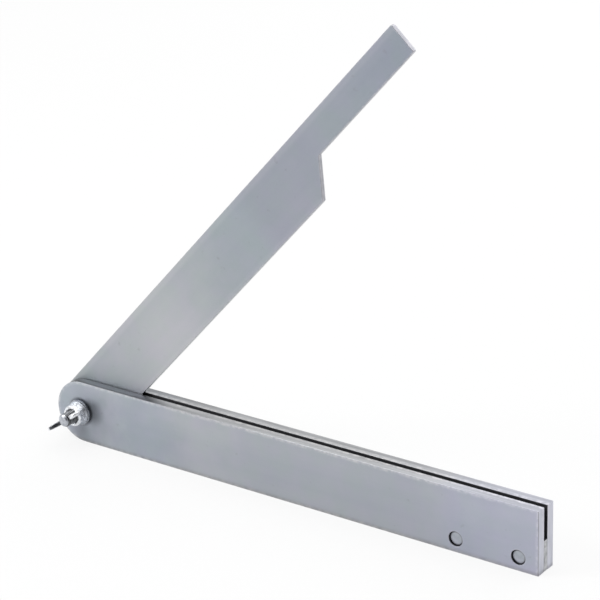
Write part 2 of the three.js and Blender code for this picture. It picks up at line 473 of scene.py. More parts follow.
def back_plate():
    rows = [(BACK_FACE, 0), (SLOT_BACK, 0)]
    hole = square_rings(SQUARE_NECK + SQUARE_NECK_CLEARANCE, rows)
    return plate("back_plate_ground", BACK_FACE, SLOT_BACK, hole)


def spacer():
    front = [(inset, SLOT_FRONT + depth, value) for inset, depth, value in SPACER_RIM_ROWS]
    back = [(inset, SLOT_BACK - depth, value) for inset, depth, value in SPACER_RIM_ROWS]
    rows = [(SHANK_HOLE, SLOT_FRONT, 0), (SHANK_HOLE, SLOT_BACK, 0)]
    holes = [hole_rings(x, RIVET_LEVEL, rows) for x in RIVETS.values()]
    return flat_bar("spacer_strip", spacer_outline(), front + back[::-1], holes)


def blade():
    rim = [BLADE_FACE_ROW]
    for angle in np.linspace(0, math.pi / 2, BLADE_RIM_STEPS):
        inset = BLADE_RIM_ROUND * (1 - math.sin(angle))
        rim.append((inset, BLADE_RIM_ROUND * (1 - math.cos(angle)), BLADE_RIM_RUB_AND_HIGHLIGHT))
    front = [(inset, BLADE_FRONT + depth, value) for inset, depth, value in rim]
    middle = [(0, (BLADE_FRONT + BLADE_BACK) / 2, BLADE_EDGE_RUB_AND_HIGHLIGHT)]
    back = [(inset, BLADE_BACK - depth, value) for inset, depth, value in rim]
    rows = [(BOLT_HOLE_RADIUS, BLADE_FRONT, 0), (BOLT_HOLE_RADIUS, BLADE_BACK, 0)]
    profile = front + middle + back[::-1]
    return flat_bar("blade_ground", blade_outline(), profile, [hole_rings(0, 0, rows)])


def rivet(name):
    """Rivet set just under the faces; both heads are domed a little and rounded at the rim."""
    front = [(-depth, radius) for depth, radius in RIVET_HEAD_ROWS]
    back = [(depth - BACK_FACE, radius) for depth, radius in RIVET_HEAD_ROWS]
    made = turned(name, back + front[::-1])
    place = places(made.data)
    # The head's rim down in the groove takes grime and painted shade
    grooved = np.hypot(place[:, 0], place[:, 2]) > RIVET_RADIUS
    set_wear_and_painted_light(made.data, np.where(grooved, -1.0, 0))
    return made


def thread_radius(height, angles):
    """Radius of a right-hand thread: flat crest, straight flanks and a flat root."""
    phase = (height / THREAD_PITCH + angles / (2 * math.pi)) % 1
    from_root = np.abs(2 * phase - 1)
    ramp = np.clip((from_root - THREAD_ROOT_SHARE) / THREAD_FLANK_SHARE, 0, 1)
    fade = np.clip((height - THREAD_START) / THREAD_RUNOUT, 0, 1)
    return BOLT_RADIUS - THREAD_DEPTH * (1 - ramp) * fade


def pivot_bolt():
    """Domed head behind the stock, square neck in the back plate, and a threaded end."""
    rise = BOLT_HEAD_HEIGHT - BOLT_HEAD_RIM
    dome_radius = (BOLT_HEAD_RADIUS**2 + rise**2) / (2 * rise)
    top = -BACK_FACE - BOLT_HEAD_HEIGHT
    reach = math.asin(BOLT_HEAD_RADIUS / dome_radius)
    rings = []
    for angle in np.linspace(DOME_TOP_SHARE, 1, DOME_STEPS) * reach:
        rings.append((top + dome_radius * (1 - math.cos(angle)), dome_radius * math.sin(angle)))
    dome_edge = rings.pop()[0]
    rings += [(dome_edge + past, BOLT_HEAD_RADIUS - inset) for past, inset in BOLT_HEAD_ROWS]
    rings.append((-BACK_FACE - BOLT_HEAD_FOOT_ROUND, BOLT_HEAD_RADIUS))
    rings.append((-BACK_FACE, BOLT_HEAD_RADIUS - BOLT_HEAD_FOOT_ROUND))
    square = SQUARE_NECK / np.maximum(np.abs(np.cos(TURN_ANGLES)), np.abs(np.sin(TURN_ANGLES)))
    square = np.minimum(square, SQUARE_NECK * SQUARE_CORNER_SHARE)
    neck_end = -SLOT_BACK - SQUARE_NECK_RECESS
    rings.append((-BACK_FACE, square))
    rings.append((neck_end - SQUARE_NECK_CHAMFER, square))
    rings.append((neck_end, np.minimum(square, SQUARE_NECK_END_RADIUS)))
    rings.append((neck_end, BOLT_RADIUS))
    rings.append((SHANK_END, BOLT_RADIUS))
    tip_radius = BOLT_RADIUS - BOLT_CHAMFER
    for height in np.arange(THREAD_START, BOLT_END - BOLT_TIP_LAND, THREAD_STEP):
        limit = tip_radius + (BOLT_END - height)
        rings.append((height, np.minimum(thread_radius(height, TURN_ANGLES), limit)))
    rings += [(BOLT_END - before, tip_radius + wider) for before, wider in BOLT_TIP_ROWS]
    made = turned("pivot_bolt_threaded", rings, sharp=THREAD_SHARP_ANGLE)
    place = places(made.data)
    radius = np.hypot(place[:, 0], place[:, 2])
    depth_in = np.clip((BOLT_RADIUS - radius) / THREAD_DEPTH, 0, 1)
    height = -place[:, 1]
    threaded = (height > THREAD_START) & (height < BOLT_END - BOLT_CHAMFER)
    # Painted shade by the thread's depth, and some over its crests
    set_wear_and_painted_light(made.data, np.where(threaded, depth_in + THREAD_CREST_SHADE, 0))
    return made


def washer():
    """Stamped washer: its rolled edge lies on the plate and its sharper one faces out."""
    rim, top = WASHER_RADIUS, WASHER_THICKNESS
    bore = BOLT_HOLE_RADIUS
    rings = [(WASHER_BORE_CHAMFER, bore), (0, bore + WASHER_BORE_CHAMFER)]
    rings += [(height, rim - inset) for height, inset in WASHER_ROLLED_ROWS]
    rings += [(top - drop, rim - inset) for drop, inset in WASHER_SHARP_ROWS]
    rings += [(top - drop, bore + inset) for drop, inset in WASHER_BORE_ROWS]
    return turned("washer_stamped", rings, loop=True)


# The wing nut, as the zero surface of a distance field
def smooth_min(a, b, reach):
    share = np.clip(0.5 + 0.5 * (b - a) / reach, 0, 1)
    return b + (a - b) * share - reach * share * (1 - share)


def polygon_distance(x, y, points):
    """Signed distance to a closed outline, negative inside."""
    best = np.full(x.shape, np.inf)
    sign = np.ones(x.shape)
    for (ax, ay), (bx, by) in zip(points, np.roll(points, -1, 0)):
        ex, ey = bx - ax, by - ay
        wx, wy = x - ax, y - ay
        t = np.clip((wx * ex + wy * ey) / (ex * ex + ey * ey), 0, 1)
        best = np.minimum(best, (wx - ex * t) ** 2 + (wy - ey * t) ** 2)
        above, below = y >= ay, y < by
        left = ex * wy > ey * wx
        flip = (above & below & left) | (~above & ~below & ~left)
        sign = np.where(flip, -sign, sign)
    return sign * np.sqrt(best)


def wing_outline():
    """Wing as distance from the axis against height: two hollow flanks and a round tip."""
    tip = np.array([WING_CENTRE, NUT_HEIGHT - WING_TIP_RADIUS])
    foot = np.array([HUB_BASE_RADIUS - HUB_ROUND, WING_FOOT])
    valley = np.array([HUB_TOP_RADIUS - HUB_ROUND, HUB_HEIGHT])

    def touch(start, side):
        way = tip - start
        turn = math.pi / 2 + math.asin(WING_TIP_RADIUS / np.linalg.norm(way))
        return math.degrees(math.atan2(way[1], way[0]) + side * turn)

    def flank(start, end):
        way = end - start
        left = np.array([-way[1], way[0]]) / np.linalg.norm(way)
        middle = (start + end) / 2 + WING_HOLLOW * left
        return curve(start, middle, end, WING_FLANK_STEPS)

    first, last = touch(foot, -1), touch(valley, 1)
    if last < first:
        last += FULL_TURN
    crown = arc(tip, WING_TIP_RADIUS, first, last, WING_TIP_STEPS)
    root = np.array([[0, HUB_HEIGHT], [0, WING_FOOT]])
    return np.concatenate([flank(foot, crown[0]), crown[1:-1], flank(crown[-1], valley), root])


def round_join(first, second, radius):
    """Distance to what two distances enclose together, with the corner between them rounded."""
    corner = np.hypot(np.maximum(first, 0), np.maximum(second, 0))
    return corner + np.minimum(np.maximum(first, second), 0) - radius


def wing_nut_field(x, depth, z):
    """Distance to a conical hub with two wings, bored through."""
    height = -depth
    radius = np.hypot(x, z)
    flare = (HUB_BASE_RADIUS - HUB_TOP_RADIUS) / HUB_HEIGHT
    side = (radius - HUB_BASE_RADIUS + flare * height) / math.hypot(1, flare) + HUB_ROUND
    ends = np.abs(height - HUB_HEIGHT / 2) - HUB_HEIGHT / 2 + HUB_ROUND
    hub = round_join(side, ends, HUB_ROUND)
    reach = np.abs(x)
    flat = polygon_distance(reach[:, :, 0], height[:, :, 0], wing_outline())[:, :, None]
    wing_reach = WING_CENTRE + WING_TIP_RADIUS - NUT_BORE_RADIUS
    share = np.clip((reach - NUT_BORE_RADIUS) / wing_reach, 0, 1)
    half = WING_ROOT_HALF + (WING_RIM_HALF - WING_ROOT_HALF) * share
    wing = round_join(np.abs(z) - half + WING_ROUND, flat + WING_ROUND, WING_ROUND)
    body = np.maximum(smooth_min(hub, wing, WING_FILLET), depth)
    low_chamfer = np.maximum(0, NUT_BORE_CHAMFER - height)
    high_chamfer = np.maximum(0, height - HUB_HEIGHT + NUT_BORE_CHAMFER)
    bore = NUT_BORE_RADIUS + low_chamfer + high_chamfer
    between_wings = height > HUB_HEIGHT + WING_GAP_START
    bore = np.where(between_wings, NUT_BORE_RADIUS + WING_GAP, bore)
    return np.maximum(body, bore - radius)


def surface(name, field, low, high, step):
    """Mesh of a field's zero surface: one vertex in each crossed cell, joined by quads."""
    axes = [np.arange(a, b + step, step) for a, b in zip(low, high)]
    grid = np.meshgrid(*axes, indexing="ij")
    value = field(*grid)
    inside = value < 0
    cells = tuple(n - 1 for n in value.shape)
    total = np.zeros(cells + (3,))
    count = np.zeros(cells)
    corners = [(i, j, k) for i in (0, 1) for j in (0, 1) for k in (0, 1)]

    def part(array, corner):
        return array[tuple(slice(c, c + n) for c, n in zip(corner, cells))]

    for a in corners:
        for axis in range(3):
            if a[axis]:
                continue
            b = tuple(c + (i == axis) for i, c in enumerate(a))
            crossed = part(inside, a) != part(inside, b)
            va, vb = part(value, a), part(value, b)
            share = np.where(crossed, va / np.where(crossed, va - vb, 1), 0)
            for i in range(3):
                total[..., i] += crossed * (a[i] + (share if i == axis else 0))
            count += crossed
    active = count > 0
    index = np.full(cells, -1)
    index[active] = np.arange(active.sum())
    place = np.argwhere(active) + total[active] / count[active][:, None]
    place = np.array(low) + place * step
    quads = []
    for axis in range(3):
        u, v = (axis + 1) % 3, (axis + 2) % 3
        first = np.take(inside, range(cells[axis]), axis)
        second = np.take(inside, range(1, cells[axis] + 1), axis)
        for cell in np.argwhere(first != second):
            if cell[u] == 0 or cell[v] == 0 or cell[u] >= cells[u] or cell[v] >= cells[v]:
                continue
            ring = []
            for du, dv in ((1, 1), (0, 1), (0, 0), (1, 0)):
                c = cell.copy()
                c[u] -= du
                c[v] -= dv
                ring.append(index[tuple(c)])
            quads.append(ring if first[tuple(cell)] else ring[::-1])
    mesh = bpy.data.meshes.new(name)
    mesh.from_pydata((place * MM).tolist(), [], quads)
    mesh.update()
    mesh.shade_smooth()
    return linked(name, mesh)


def wing_nut():
    reach = WING_CENTRE + WING_TIP_RADIUS + FIELD_MARGIN
    side = HUB_BASE_RADIUS + FIELD_SIDE_MARGIN
    low = (-reach, -NUT_HEIGHT - FIELD_MARGIN, -side)
    high = (reach, FIELD_MARGIN, side)
    made = surface("wing_nut_forged", wing_nut_field, low, high, FIELD_STEP)
    even = made.modifiers.new("relax", "SMOOTH")
    even.factor = RELAX_SHARE
    even.iterations = RELAX_ROUNDS
    return made


# Shader nodes
def add(tree, kind, sockets=None, **settings):
    """A shader node; a socket value is linked, and anything else is set."""
    made = tree.nodes.new(kind)
    for key, value in settings.items():
        setattr(made, key, value)
    for key, value in (sockets or {}).items():
        if isinstance(value, bpy.types.NodeSocket):
            tree.links.new(value, made.inputs[key])
        else:
            made.inputs[key].default_value = value
    return made


def new_tree(name):
    made = bpy.data.materials.new(name)
    made.use_nodes = True
    made.node_tree.nodes.clear()
    return made, made.node_tree


def attribute(tree, name, output):
    return add(tree, "ShaderNodeAttribute", attribute_name=name).outputs[output]


def split(tree, vector):
    return add(tree, "ShaderNodeSeparateXYZ", {"Vector": vector}).outputs


def object_normal(tree):
    return add(tree, "ShaderNodeTexCoord").outputs["Normal"]


def noise(tree, place, scale, detail, roughness):
    values = {"Vector": place, "Scale": scale, "Detail": detail, "Roughness": roughness}
    return add(tree, "ShaderNodeTexNoise", values).outputs["Fac"]


def stretched(tree, place, scale):
    return add(tree, "ShaderNodeMapping", {"Vector": place, "Scale": scale}).outputs["Vector"]


def ramp_sockets(value, low, high, to_low, to_high):
    return {"Value": value, "From Min": low, "From Max": high, "To Min": to_low, "To Max": to_high}


def mapped(tree, value, low, high, to_low, to_high):
    sockets = ramp_sockets(value, low, high, to_low, to_high)
    return add(tree, "ShaderNodeMapRange", sockets).outputs["Result"]


def along(tree, place, low, high, gain):
    """Share that rises smoothly from nothing to a gain between two places in millimetres."""
    sockets = ramp_sockets(place, low * MM, high * MM, 0, gain)
    kind = "SMOOTHSTEP"
    return add(tree, "ShaderNodeMapRange", sockets, interpolation_type=kind).outputs["Result"]


def straight(tree, place, low, high, to_low=0, to_high=1):
    """Share that goes straight from one value to another between two places in millimetres."""
    return mapped(tree, place, low * MM, high * MM, to_low, to_high)


def math_node(tree, operation, a, b=0):
    return add(tree, "ShaderNodeMath", {0: a, 1: b}, operation=operation).outputs["Value"]


def plus(tree, a, b):
    return math_node(tree, "ADD", a, b)


def times(tree, a, b):
    return math_node(tree, "MULTIPLY", a, b)


def blend_colours(tree, share, a, b, clamped=True):
    sockets = {0: share, 6: a, 7: b}
    return add(tree, "ShaderNodeMix", sockets, data_type="RGBA", clamp_factor=clamped).outputs[2]


def tinted(tree, share, colour, tint):
    sockets = {0: share, 6: colour, 7: tint}
    settings = {"data_type": "RGBA", "blend_type": "MULTIPLY"}
    return add(tree, "ShaderNodeMix", sockets, **settings).outputs[2]


def rgb(r, g, b):
    return (r, g, b, 1)


def distance_from(tree, at, x, z):
    """Distance from an axis along Y through a place in millimetres."""
    sockets = {"Vector": at, "Location": (-x * MM, 0, -z * MM), "Scale": (1, 0, 1)}
    moved = add(tree, "ShaderNodeMapping", sockets).outputs["Vector"]
    length = add(tree, "ShaderNodeVectorMath", {0: moved}, operation="LENGTH")
    return length.outputs["Value"]


def summed(tree, total, place, tones):
    """Adds smooth rises along the piece; each is a start, an end and a gain."""
    for low, high, gain in tones:
        total = plus(tree, total, along(tree, place, low, high, gain))
    return total


def bumped(tree, height, bump, normal=None):
    """Normal after a bump, which is its strength and its distance in millimetres."""
    strength, distance = bump
    sockets = {"Height": height, "Strength": strength, "Distance": distance * MM}
    if normal:
        sockets["Normal"] = normal
    return add(tree, "ShaderNodeBump", sockets).outputs["Normal"]


def finish_metal(tree, colour, metallic, dull, normal):
    sockets = {"Base Color": colour, "Metallic": metallic, "Roughness": dull, "Normal": normal}
    shader = add(tree, "ShaderNodeBsdfPrincipled", sockets)
    add(tree, "ShaderNodeOutputMaterial", {"Surface": shader.outputs["BSDF"]})


# Satin steel. Noise is its scale, detail and roughness, a ramp is what it takes and what it
# gives, and a bump is its strength and its distance in millimetres.
GRAIN_STRETCH = (60, 4200, 4200)
STREAK_STRETCH = (9, 260, 260)
BAND_STRETCH = (18, 420, 40)
GRAIN_NOISE = (1, 3, 0.5)
STREAK_NOISE = (1, 4, 0.5)
BAND_NOISE = (1, 2, 0.5)
CLOUD_SCALE = 42
CLOUD_DETAIL = (5, 0.65)
FLECK_NOISE = (260, 2, 0.5)
WANDER_NOISE = (45, 4, 0.6)
HUE_NOISE = (95, 4, 0.5)
PATCH_NOISE = (420, 4, 0.5)
CLOUD_SHARE = 0.6
STREAK_SHARE = 0.28
GRAIN_SHARE = 0.12
TONE_RAMP = (0.3, 0.7, 0, 1)
WANDER_RAMP = (0.3, 0.7, -12 * MM, 12 * MM)
FLECK_RAMP = (0.68, 0.78, 0, 0.3)
HUE_RAMP = (0.38, 0.62, 0, 1)
BAND_RAMP = (0.34, 0.62, 0, 1)
PATCH_RAMP = (0.38, 0.62, 0.1, 0.8)
EDGE_TONE_SHARE = 0.3
EDGE_BAND_SHARE = 0.7
FACE_TO_SIDE_RAMP = (0.75, 0.35, 0, 1)
GRIME_AND_SHADE_RAMP = (0, -1, 0, 0.85)
CORNER_IN_RAMP = (0.995, 0.93, 0, 1)
CORNER_OUT_RAMP = (0.3, 0.5, 0, 1)
EDGE_SHADE_SHARE = 0.6
GRAIN_DULLNESS = 0.1
CLOUD_DULLNESS = 0.08
MEAN_DULLNESS = 0.09
SIDE_POLISH = 0.16
GRAIN_BUMP = (0.35, 0.02)
STREAK_BUMP = (0.3, 0.12)
FLECK = rgb(0.25, 0.26, 0.27)
GREENER = rgb(0.985, 1.008, 0.98)
PINKER = rgb(1.006, 0.992, 1.01)
RUBBED_AND_HIGHLIGHT = rgb(0.66, 0.67, 0.69)
GRIME_AND_SHADE = rgb(0.05, 0.05, 0.055)
# Painted shade on rounded edges and at the stock's foot
PAINTED_EDGE_SHADE = rgb(0.12, 0.11, 0.11)

# Painted light and shade that only the stock has, with their places in millimetres
BACK_EDGE_SHADE = (SLOT_BACK + 1.2, BACK_FACE - 0.6, -0.35)
UPWARD_RAMP = (0.3, 0.7, 0, 1)
DOWNWARD_RAMP = (0.1, 0.3, 1, 0)
END_LIGHT_RAMP = (0.5, 0.9, 0, 0.78)
BLADE_SHADE = (52, 36, 1)
BLADE_SHADE_GAIN = -1.32
RUB_AND_HIGHLIGHT_EDGE = (1.2, 2.2)
PIVOT_END_CORNERS = ((140, 30, 1), (0, 12, 1))
BACK_CORNERS = (BACK_FACE - 1, BACK_FACE - 0.6)
LOWER_CORNER_GAIN = 0.5
FOOT_SHADE = (-12.3, -13.9, 0.28)
FRONT_FACE_RAMP = (0.7, 0.8, 0, 1)
# Painted contact shade on the front face round the washer
NUT_CONTACT_SHADE = (WASHER_RADIUS + 0.1, WASHER_RADIUS + 1.2, 0.5, 0)
SLOT_WALL = (SLOT_GAP / 2 + 0.01, SLOT_GAP / 2 + 0.04, 1, 0)
PAINTED_NUT_SHADOW = rgb(0.06, 0.06, 0.07)
SLOT_SHADE = rgb(0.12, 0.12, 0.13)

# Painted shadow round the wing nut: a place on the front face, the reach where it ends and
# where it is full, and its share
NUT_CAST_SHADOWS = (
    (6.5, 1.2, 8.2, 2.2, 0.48),
    (7, 3, 18, 4, 0.08),
    (-1.5, -9, 7.5, 1.5, 0.31),
)


def steel_face(tree, at, place, tone, colours, face_tones, rim_tones, sheens):
    """Colour of the wide faces, with soft lights and darks along them and a few flecks."""
    wander = mapped(tree, noise(tree, at, *WANDER_NOISE), *WANDER_RAMP)
    tone = summed(tree, tone, plus(tree, place["X"], wander), face_tones)
    tone = summed(tree, tone, place["Z"], rim_tones)
    for x, z, low, high, gain in sheens:
        near = distance_from(tree, at, x, z)
        tone = plus(tree, tone, along(tree, near, low, high, gain))
    face = blend_colours(tree, tone, *colours, clamped=False)
    fleck = mapped(tree, noise(tree, at, *FLECK_NOISE), *FLECK_RAMP)
    face = blend_colours(tree, fleck, face, FLECK)
    hue = mapped(tree, noise(tree, at, *HUE_NOISE), *HUE_RAMP)
    return tinted(tree, 1.0, face, blend_colours(tree, hue, GREENER, PINKER))


def stock_edge_tone(tree, place, facing, under_blade, tone):
    """The stock's narrow edges: painted shade behind, painted light at the end and painted shade
    near the blade.
    """
    back = along(tree, place["Y"], *BACK_EDGE_SHADE)
    upward = mapped(tree, facing["Z"], *UPWARD_RAMP)
    tone = plus(tree, tone, times(tree, back, upward))
    tone = plus(tree, tone, mapped(tree, facing["X"], *END_LIGHT_RAMP))
    return plus(tree, tone, times(tree, under_blade, BLADE_SHADE_GAIN))


def stock_edge_shade(tree, place, facing, corner):
    """Painted shade as dark lines on the stock's lower corners, round its pivot end and along its
    back.
    """
    lower = mapped(tree, facing["Z"], *DOWNWARD_RAMP)
    first, second = PIVOT_END_CORNERS
    pivot_end = times(tree, along(tree, place["X"], *first), along(tree, place["X"], *second))
    behind = straight(tree, place["Y"], *BACK_CORNERS)
    behind = times(tree, behind, mapped(tree, facing["Z"], *UPWARD_RAMP))
    dark = math_node(tree, "MAXIMUM", math_node(tree, "MAXIMUM", lower, pivot_end), behind)
    deeper = plus(tree, times(tree, lower, LOWER_CORNER_GAIN), 1)
    return times(tree, times(tree, corner, dark), deeper)


def stock_marks(tree, at, place, colour):
    """Painted shade at the foot, painted shadow round the wing nut on the front face, and painted
    shade in the slot.
    """
    foot = along(tree, place["Z"], *FOOT_SHADE)
    colour = blend_colours(tree, foot, colour, PAINTED_EDGE_SHADE)
    front = straight(tree, place["Y"], SLOT_FRONT, 0)
    front = mapped(tree, front, *FRONT_FACE_RAMP)
    # Painted shade round the washer and painted shadows of the wing nut
    ring = straight(tree, distance_from(tree, at, 0, 0), *NUT_CONTACT_SHADE)
    colour = blend_colours(tree, times(tree, ring, front), colour, PAINTED_NUT_SHADOW)
    for x, z, low, high, gain in NUT_CAST_SHADOWS:
        nut_shadow = along(tree, distance_from(tree, at, x, z), low, high, gain)
        colour = blend_colours(tree, times(tree, nut_shadow, front), colour, PAINTED_NUT_SHADOW)
    # Painted shade on the slot's inner walls
    middle = (SLOT_FRONT + SLOT_BACK) / 2 * MM
    away = math_node(tree, "ABSOLUTE", math_node(tree, "SUBTRACT", place["Y"], middle))
    wall = straight(tree, away, *SLOT_WALL)
    return blend_colours(tree, wall, colour, SLOT_SHADE)


def brushed_steel(
    name,
    faces,
    edges,
    rough,
    cloud_scale=CLOUD_SCALE,
    face_tones=(),
    edge_tones=(),
    rim_tones=(),
    sheens=(),
    casts=(),
    edge_shade_share=EDGE_SHADE_SHARE,
    stock=False,
):
    """Satin steel: wide faces duller, narrow edges brighter, and worn corners rubbed bright with a
    painted highlight.

    Faces and edges are a dark and a light colour each. Face and edge tones are starts, ends
    and gains along the piece, rim tones the same up the piece, sheens spots on its face, and
    casts a start, an end and a tint along it.
    """
    made, tree = new_tree(name)
    at = attribute(tree, "own", "Vector")
    wear_and_painted_light = attribute(tree, "wear_and_painted_light", "Fac")
    place = split(tree, at)
    facing = split(tree, object_normal(tree))
    grain = noise(tree, stretched(tree, at, GRAIN_STRETCH), *GRAIN_NOISE)
    streak = noise(tree, stretched(tree, at, STREAK_STRETCH), *STREAK_NOISE)
    cloud = noise(tree, at, cloud_scale, *CLOUD_DETAIL)
    tone = plus(tree, times(tree, cloud, CLOUD_SHARE), times(tree, streak, STREAK_SHARE))
    tone = mapped(tree, plus(tree, tone, times(tree, grain, GRAIN_SHARE)), *TONE_RAMP)
    face = steel_face(tree, at, place, tone, faces, face_tones, rim_tones, sheens)
    band = noise(tree, stretched(tree, at, BAND_STRETCH), *BAND_NOISE)
    band = times(tree, mapped(tree, band, *BAND_RAMP), EDGE_BAND_SHARE)
    edge_tone = plus(tree, times(tree, tone, EDGE_TONE_SHARE), band)
    edge_tone = summed(tree, edge_tone, place["X"], edge_tones)
    # Worn corners lighter: rubbed steel with a painted highlight
    rub_and_highlight = times(tree, wear_and_painted_light, mapped(tree, noise(tree, at, *PATCH_NOISE), *PATCH_RAMP))
    flat = math_node(tree, "ABSOLUTE", facing["Y"])
    corner = mapped(tree, flat, *CORNER_IN_RAMP)
    corner = times(tree, corner, mapped(tree, flat, *CORNER_OUT_RAMP))
    if stock:
        on_front = straight(tree, place["Y"], SLOT_FRONT, SLOT_BACK, 1, 0)
        under_blade = times(tree, along(tree, place["X"], *BLADE_SHADE), on_front)
        edge_tone = stock_edge_tone(tree, place, facing, under_blade, edge_tone)
        # The front plate's inner edge loses its rubbed painted highlight where the blade's painted
        # shade falls
        inner = straight(tree, place["Y"], *RUB_AND_HIGHLIGHT_EDGE)
        kept_rub_and_highlight = math_node(tree, "SUBTRACT", 1, times(tree, under_blade, inner))
        rub_and_highlight = times(tree, rub_and_highlight, kept_rub_and_highlight)
        corner = stock_edge_shade(tree, place, facing, corner)
    edge = blend_colours(tree, edge_tone, *edges, clamped=False)
    side = mapped(tree, flat, *FACE_TO_SIDE_RAMP)
    colour = blend_colours(tree, side, face, edge)
    colour = blend_colours(tree, rub_and_highlight, colour, RUBBED_AND_HIGHLIGHT)
    for low, high, tint in casts:
        colour = tinted(tree, along(tree, place["X"], low, high, 1), colour, tint)
    # Grime and painted shade where the wear value is below zero, down in the rivet grooves
    colour = blend_colours(tree, mapped(tree, wear_and_painted_light, *GRIME_AND_SHADE_RAMP), colour, GRIME_AND_SHADE)
    # Painted shade on the rounded edges
    colour = blend_colours(tree, times(tree, corner, edge_shade_share), colour, PAINTED_EDGE_SHADE)
    if stock:
        colour = stock_marks(tree, at, place, colour)
    dull = plus(tree, times(tree, grain, GRAIN_DULLNESS), times(tree, cloud, CLOUD_DULLNESS))
    dull = plus(tree, dull, rough - MEAN_DULLNESS)
    dull = math_node(tree, "SUBTRACT", dull, times(tree, side, SIDE_POLISH))
    normal = bumped(tree, streak, STREAK_BUMP, bumped(tree, grain, GRAIN_BUMP))
    finish_metal(tree, colour, 1.0, dull, normal)
    return made


# Steel of the bolt
BOLT_CLOUD_NOISE = (500, 3, 0.5)
TURNING_RATE = 26000
BOLT_TONE_RAMP = (0.35, 0.65, 0, 1)
BOLT_DULL_RAMP = (0.3, 0.7, 0.3, 0.45)
GROOVE_SHADE_RAMP = (0.05, 0.6, 0, 1)
TURNING_BUMP = (0.2, 0.01)
BOLT_CLOUD_BUMP = (0.3, 0.05)
BARE_DARK = rgb(0.38, 0.40, 0.44)
BARE_LIGHT = rgb(0.62, 0.64, 0.68)
THREAD_SHADE = rgb(0.05, 0.05, 0.05)


def threaded_steel(name):
    """Plain steel of a turned bolt: painted shade deep in the thread's roots, less on its crests,
    and a bare end.
    """
    made, tree = new_tree(name)
    at = attribute(tree, "own", "Vector")
    groove_shade = attribute(tree, "wear_and_painted_light", "Fac")
    cloud = noise(tree, at, *BOLT_CLOUD_NOISE)
    rings = math_node(tree, "SINE", times(tree, distance_from(tree, at, 0, 0), TURNING_RATE))
    colour = blend_colours(tree, mapped(tree, cloud, *BOLT_TONE_RAMP), BARE_DARK, BARE_LIGHT)
    # Painted shade in the thread
    colour = blend_colours(tree, mapped(tree, groove_shade, *GROOVE_SHADE_RAMP), colour, THREAD_SHADE)
    dull = mapped(tree, cloud, *BOLT_DULL_RAMP)
    normal = bumped(tree, cloud, BOLT_CLOUD_BUMP, bumped(tree, rings, TURNING_BUMP))
    finish_metal(tree, colour, 1.0, dull, normal)
    return made


# Zinc of the washer and the wing nut
LUMP_NOISE = (750, 3, 0.5)
FINE_NOISE = (2000, 3, 0.5)
ZINC_CLOUD_NOISE = (240, 2, 0.5)
STAIN_NOISE = (480, 4, 0.6)
ZINC_TONE_RAMP = (0.35, 0.65, 0, 1)
ZINC_DULL_RAMP = (0.3, 0.7, 0.18, 0.36)
STAIN_RAMP = (0.52, 0.66, 0, 0.6)
LUMP_BUMP = (0.9, 0.3)
FINE_BUMP = (0.5, 0.06)
STAIN = rgb(0.16, 0.17, 0.20)
WING_SIDE = (-math.sin(WING_TURN), 0, math.cos(WING_TURN))
WING_RIM_RAMP = (0.8, 0.45, 0, 0.97)
WING_RIM_ENDS = ((-4.2, -4.8, 1), (-8.7, -7.9, 1))
WING_RIM_SHADE = rgb(0.06, 0.062, 0.07)


def wing_rim(tree, place):
    """Share of painted shade on the rim of one wing, where the normal turns away from its sides.
    """
    sockets = {0: object_normal(tree), 1: WING_SIDE}
    turned_side = add(tree, "ShaderNodeVectorMath", sockets, operation="DOT_PRODUCT")
    turned_side = math_node(tree, "ABSOLUTE", turned_side.outputs["Value"])
    rim = mapped(tree, turned_side, *WING_RIM_RAMP)
    for end in WING_RIM_ENDS:
        rim = times(tree, rim, along(tree, place["X"], *end))
    return rim


def bright_zinc(name, dark, light, metallic, shaded_rim=False):
    """Bright zinc plating over a slightly rough forging."""
    made, tree = new_tree(name)
    at = attribute(tree, "own", "Vector")
    cloud = noise(tree, at, *ZINC_CLOUD_NOISE)
    colour = blend_colours(tree, mapped(tree, cloud, *ZINC_TONE_RAMP), dark, light)
    stain = mapped(tree, noise(tree, at, *STAIN_NOISE), *STAIN_RAMP)
    colour = blend_colours(tree, stain, colour, STAIN)
    if shaded_rim:
        # Painted shade along one wing's rim
        rim = wing_rim(tree, split(tree, at))
        colour = blend_colours(tree, rim, colour, WING_RIM_SHADE)
    dull = mapped(tree, cloud, *ZINC_DULL_RAMP)
    normal = bumped(tree, noise(tree, at, *LUMP_NOISE), LUMP_BUMP)
    normal = bumped(tree, noise(tree, at, *FINE_NOISE), FINE_BUMP, normal)
    finish_metal(tree, colour, metallic, dull, normal)
    return made


